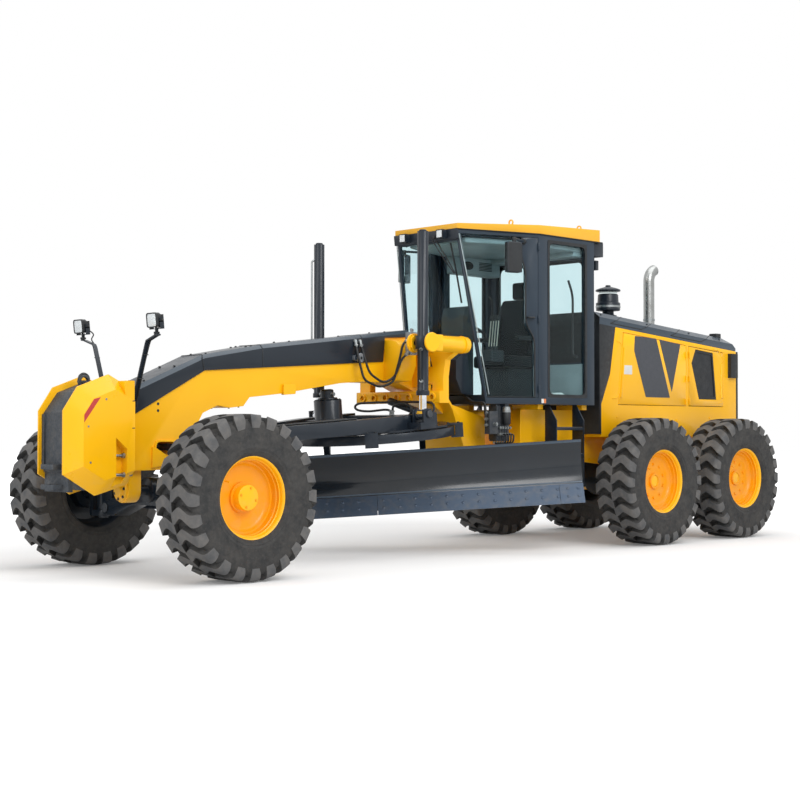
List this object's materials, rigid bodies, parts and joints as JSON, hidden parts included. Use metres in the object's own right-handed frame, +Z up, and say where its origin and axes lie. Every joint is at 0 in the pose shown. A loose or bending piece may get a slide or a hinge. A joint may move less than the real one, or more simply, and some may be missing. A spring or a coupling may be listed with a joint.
{
  "type": "motor grader",
  "caption": "Articulated road grader: tandem rear frame with cab and hood, gooseneck front frame with leaning steered wheels, and a curved blade slung under a toothed circle.",
  "frame": {"origin": "on the ground under the middle of the machine, as it stands on its tyres", "axes": "+X forward to the front axle, +Y to the operator's left, +Z up"},
  "size_m": [9.03, 2.9327, 3.34],
  "materials": {
    "yellow_paint": "gloss paint",
    "dark_paint": "satin paint",
    "slate_paint": "satin paint",
    "cast_steel": "plain",
    "chrome": "bright",
    "tyre_rubber": "matt",
    "black_plastic": "matt",
    "seat_fabric": "woven",
    "hose_rubber": "matt",
    "window_glass": "tinted"
  },
  "bodies": {
    "rear_frame": {"rear_frame": "yellow_paint", "tandem_cases": "yellow_paint", "rear_axle": "dark_paint", "engine": "cast_steel", "hood_sides": "yellow_paint", "hood_cover": "slate_paint", "rear_grille": "black_plastic", "precleaner": "black_plastic", "exhaust": "chrome", "cab_frame": "dark_paint", "cab_glass": "window_glass", "cab_roof": "yellow_paint", "cab_trim": "black_plastic", "seat": "seat_fabric", "cab_interior": "black_plastic", "ladders": "dark_paint", "valve_block": "black_plastic"},
    "front_frame": {"front_frame": "yellow_paint", "neck_cover": "dark_paint", "saddle": "yellow_paint", "counterweight_castings": "yellow_paint", "counterweight_core": "cast_steel", "front_lamps": "black_plastic", "front_axle": "dark_paint", "neck_hoses": "hose_rubber"},
    "lift_cylinders": {"lift_barrels": "dark_paint"},
    "lift_rods": {"lift_rods": "chrome"},
    "drawbar": {"drawbar": "dark_paint", "drawbar_hoses": "hose_rubber"},
    "circle": {"circle": "dark_paint"},
    "blade_carriage": {"blade_carriage": "dark_paint"},
    "blade": {"blade": "dark_paint", "cutting_edges": "cast_steel"},
    "tie_ball": {"tie_ball": "dark_paint"},
    "tie_rod": {"tie_rod": "dark_paint"},
    "lean_bar": {"lean_bar": "dark_paint"},
    "lean_bracket_left": {"lean_bracket_left": "dark_paint"},
    "knuckle_left": {"knuckle_left": "dark_paint"},
    "lean_bracket_right": {"lean_bracket_right": "dark_paint"},
    "knuckle_right": {"knuckle_right": "dark_paint"},
    "wheel_front_left": {"tyre_front_left": "tyre_rubber", "rim_front_left": "yellow_paint"},
    "wheel_front_right": {"tyre_front_right": "tyre_rubber", "rim_front_right": "yellow_paint"},
    "wheel_middle_left": {"tyre_middle_left": "tyre_rubber", "rim_middle_left": "yellow_paint"},
    "wheel_middle_right": {"tyre_middle_right": "tyre_rubber", "rim_middle_right": "yellow_paint"},
    "wheel_rear_left": {"tyre_rear_left": "tyre_rubber", "rim_rear_left": "yellow_paint"},
    "wheel_rear_right": {"tyre_rear_right": "tyre_rubber", "rim_rear_right": "yellow_paint"},
    "cab_door_left": {"cab_door_left": "dark_paint", "cab_door_glass_left": "window_glass"},
    "hood_door_front_left": {"hood_door_front_left": "yellow_paint"},
    "hood_door_rear_left": {"hood_door_rear_left": "yellow_paint"},
    "cab_door_right": {"cab_door_right": "dark_paint", "cab_door_glass_right": "window_glass"},
    "hood_door_front_right": {"hood_door_front_right": "yellow_paint"},
    "hood_door_rear_right": {"hood_door_rear_right": "yellow_paint"}
  },
  "joints": [
    {"name": "articulation", "type": "hinge", "parent": "rear_frame", "child": "front_frame", "pos_m": [-0.465, 0, 1.115], "axis": [0, 0, -1], "range_deg": [-22, 22]},
    {"name": "drawbar_lift", "type": "hinge", "parent": "front_frame", "child": "drawbar", "pos_m": [3.065, 0, 0.98], "axis": [0, 1, 0], "range_deg": [-8, 1.5]},
    {"name": "cylinder_swing", "type": "hinge", "parent": "front_frame", "child": "lift_cylinders", "pos_m": [0.985, 0, 2], "axis": [0, 1, 0], "range_deg": [-1, 2]},
    {"name": "rod_slide", "type": "slide", "parent": "lift_cylinders", "child": "lift_rods", "axis": [0, 0, 1], "range_m": [-0.32, 0.07]},
    {"name": "circle_turn", "type": "hinge", "parent": "drawbar", "child": "circle", "pos_m": [0.935, 0, 1.19], "axis": [0.0872, 0, 0.9962], "range_deg": [-95, 5]},
    {"name": "blade_tip", "type": "hinge", "parent": "circle", "child": "blade_carriage", "pos_m": [0.72955, -0.14849, 0.54545], "axis": [-0.7044, 0.7071, 0.0616], "range_deg": [-5, 40]},
    {"name": "blade_shift", "type": "slide", "parent": "blade_carriage", "child": "blade", "axis": [-0.7044, 0.7071, 0.0616], "range_m": [-0.5, 0.5]},
    {"name": "lean_left", "type": "hinge", "parent": "front_frame", "child": "lean_bracket_left", "pos_m": [3.445, 0.64, 0.52], "axis": [1, 0, 0], "range_deg": [-17, 17]},
    {"name": "steer_left", "type": "hinge", "parent": "lean_bracket_left", "child": "knuckle_left", "pos_m": [3.445, 0.8, 0.64], "axis": [0, 0, 1], "range_deg": [-35, 35]},
    {"name": "lean_right", "type": "hinge", "parent": "front_frame", "child": "lean_bracket_right", "pos_m": [3.445, -0.64, 0.52], "axis": [1, 0, 0], "range_deg": [-17, 17]},
    {"name": "steer_right", "type": "hinge", "parent": "lean_bracket_right", "child": "knuckle_right", "pos_m": [3.445, -0.8, 0.64], "axis": [0, 0, 1], "range_deg": [-35, 35]},
    {"name": "tie_ball_turn", "type": "hinge", "parent": "knuckle_left", "child": "tie_ball", "pos_m": [3.22, 0.8, 0.525], "axis": [0, 0, 1], "range_deg": [-35, 35]},
    {"name": "tie_rod_level", "type": "hinge", "parent": "tie_ball", "child": "tie_rod", "pos_m": [3.22, 0.8, 0.525], "axis": [1, 0, 0], "range_deg": [-17, 17]},
    {"name": "lean_bar_level", "type": "hinge", "parent": "lean_bracket_left", "child": "lean_bar", "pos_m": [3.445, 0.64, 1.05], "axis": [1, 0, 0], "range_deg": [-17, 17]},
    {"name": "roll_front_left", "type": "hinge", "parent": "knuckle_left", "child": "wheel_front_left", "pos_m": [3.445, 1.075, 0.66], "axis": [0, 1, 0], "continuous": true},
    {"name": "roll_front_right", "type": "hinge", "parent": "knuckle_right", "child": "wheel_front_right", "pos_m": [3.445, -1.075, 0.66], "axis": [0, 1, 0], "continuous": true},
    {"name": "roll_middle_left", "type": "hinge", "parent": "rear_frame", "child": "wheel_middle_left", "pos_m": [-2.046, 1.075, 0.66], "axis": [0, 1, 0], "continuous": true},
    {"name": "roll_middle_right", "type": "hinge", "parent": "rear_frame", "child": "wheel_middle_right", "pos_m": [-2.046, -1.075, 0.66], "axis": [0, 1, 0], "continuous": true},
    {"name": "roll_rear_left", "type": "hinge", "parent": "rear_frame", "child": "wheel_rear_left", "pos_m": [-3.584, 1.075, 0.66], "axis": [0, 1, 0], "continuous": true},
    {"name": "roll_rear_right", "type": "hinge", "parent": "rear_frame", "child": "wheel_rear_right", "pos_m": [-3.584, -1.075, 0.66], "axis": [0, 1, 0], "continuous": true},
    {"name": "cab_door_hinge_left", "type": "hinge", "parent": "rear_frame", "child": "cab_door_left", "pos_m": [-0.669, 0.727, 2.2], "axis": [0, 0, 1], "range_deg": [0, 85]},
    {"name": "hood_door_front_left_hinge", "type": "hinge", "parent": "rear_frame", "child": "hood_door_front_left", "pos_m": [-3.293, 0.688, 1.8], "axis": [0, 0, 1], "range_deg": [0, 80]},
    {"name": "hood_door_rear_left_hinge", "type": "hinge", "parent": "rear_frame", "child": "hood_door_rear_left", "pos_m": [-3.347, 0.688, 1.8], "axis": [0, 0, -1], "range_deg": [0, 80]},
    {"name": "cab_door_hinge_right", "type": "hinge", "parent": "rear_frame", "child": "cab_door_right", "pos_m": [-0.669, -0.727, 2.2], "axis": [0, 0, -1], "range_deg": [0, 85]},
    {"name": "hood_door_front_right_hinge", "type": "hinge", "parent": "rear_frame", "child": "hood_door_front_right", "pos_m": [-3.293, -0.688, 1.8], "axis": [0, 0, -1], "range_deg": [0, 80]},
    {"name": "hood_door_rear_right_hinge", "type": "hinge", "parent": "rear_frame", "child": "hood_door_rear_right", "pos_m": [-3.347, -0.688, 1.8], "axis": [0, 0, 1], "range_deg": [0, 80]}
  ],
  "couplings": [
    {"joint": "cylinder_swing", "follows": "drawbar_lift", "ratio": -0.2},
    {"joint": "rod_slide", "follows": "drawbar_lift", "m_per_rad": 2.08},
    {"joint": "lean_right", "follows": "lean_left", "ratio": 1},
    {"joint": "steer_right", "follows": "steer_left", "ratio": 1},
    {"joint": "tie_ball_turn", "follows": "steer_left", "ratio": -1},
    {"joint": "tie_rod_level", "follows": "lean_left", "ratio": -0.8},
    {"joint": "lean_bar_level", "follows": "lean_left", "ratio": -1}
  ]
}
